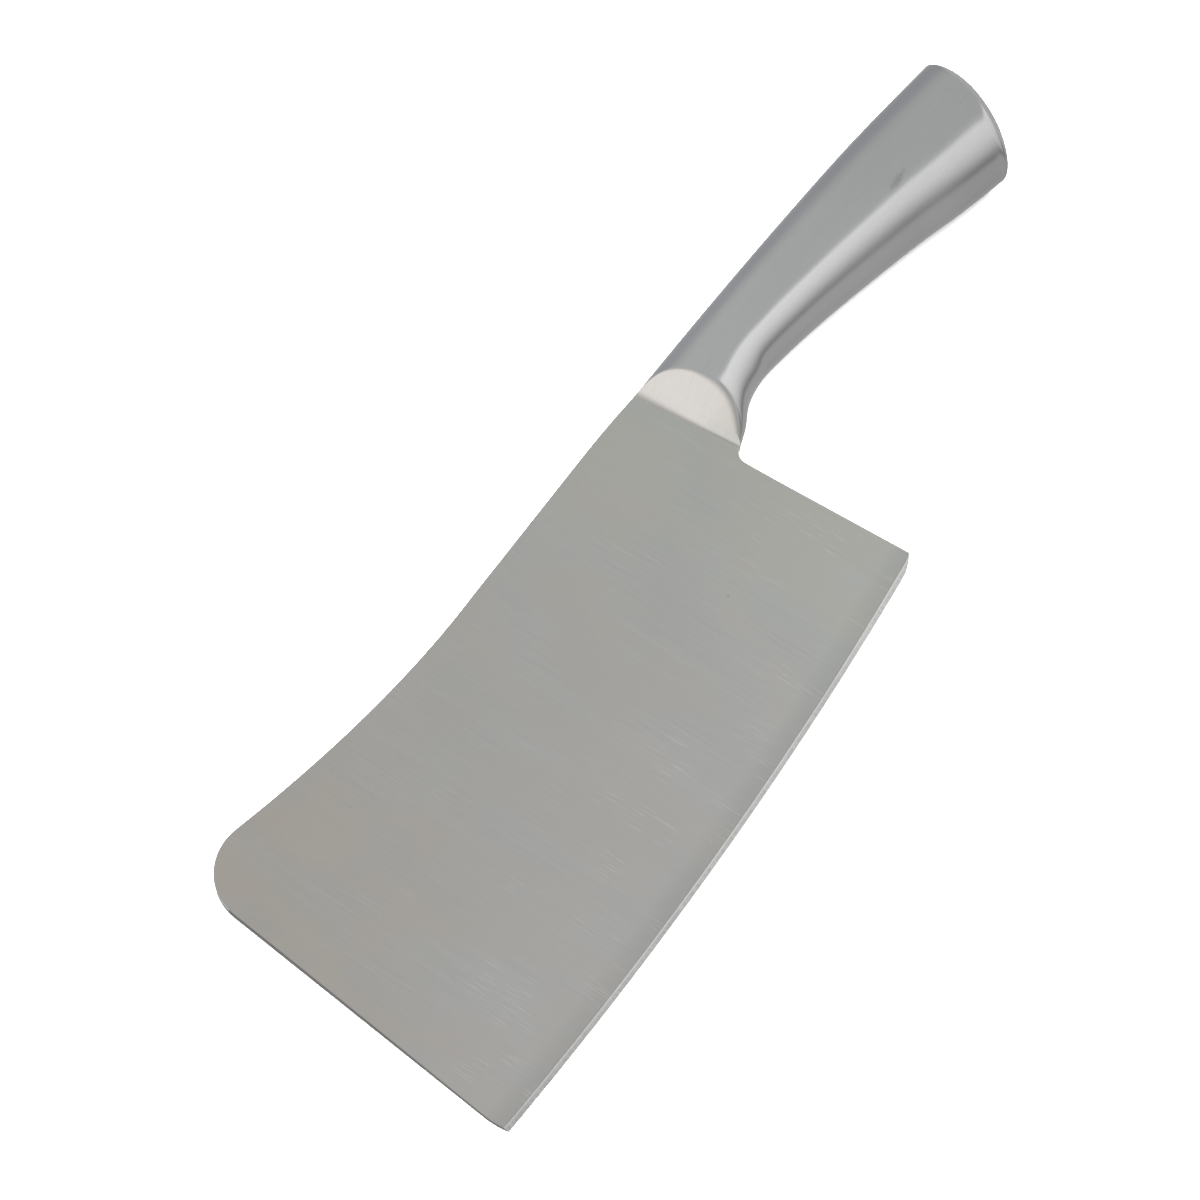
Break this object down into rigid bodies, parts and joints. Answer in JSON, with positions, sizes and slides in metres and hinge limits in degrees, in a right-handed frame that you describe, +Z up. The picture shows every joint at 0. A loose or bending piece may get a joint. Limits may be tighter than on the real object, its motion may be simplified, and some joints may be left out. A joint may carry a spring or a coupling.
{
  "type": "meat cleaver",
  "caption": "All-steel meat cleaver with a broad flared blade, a ground bolster and a hollow welded handle that widens to a domed butt.",
  "frame": {"origin": "centre of the bounding box's footprint, on the surface the cleaver lies on", "axes": "+X from the toe of the blade towards the butt of the handle, +Y from the cutting edge towards the spine, +Z up, out of the blade's upper side; the cleaver lies on its side"},
  "size_m": [0.2982, 0.1, 0.0203],
  "materials": {
    "blade_steel": "fine satin grind, lines running from spine to edge",
    "handle_steel": "satin polish, smoother than the blade; the bolster's two facets ground flat",
    "weld_steel": "weld metal ground and polished flush with its neighbours"
  },
  "bodies": {
    "root": {"blade": "blade_steel", "blade_weld": "weld_steel", "bolster": "handle_steel", "neck_weld": "weld_steel", "handle_shell_left": "handle_steel", "handle_shell_right": "handle_steel", "spine_seam_weld": "weld_steel", "belly_seam_weld": "weld_steel", "butt_weld": "weld_steel", "butt_cap": "handle_steel"}
  },
  "joints": []
}
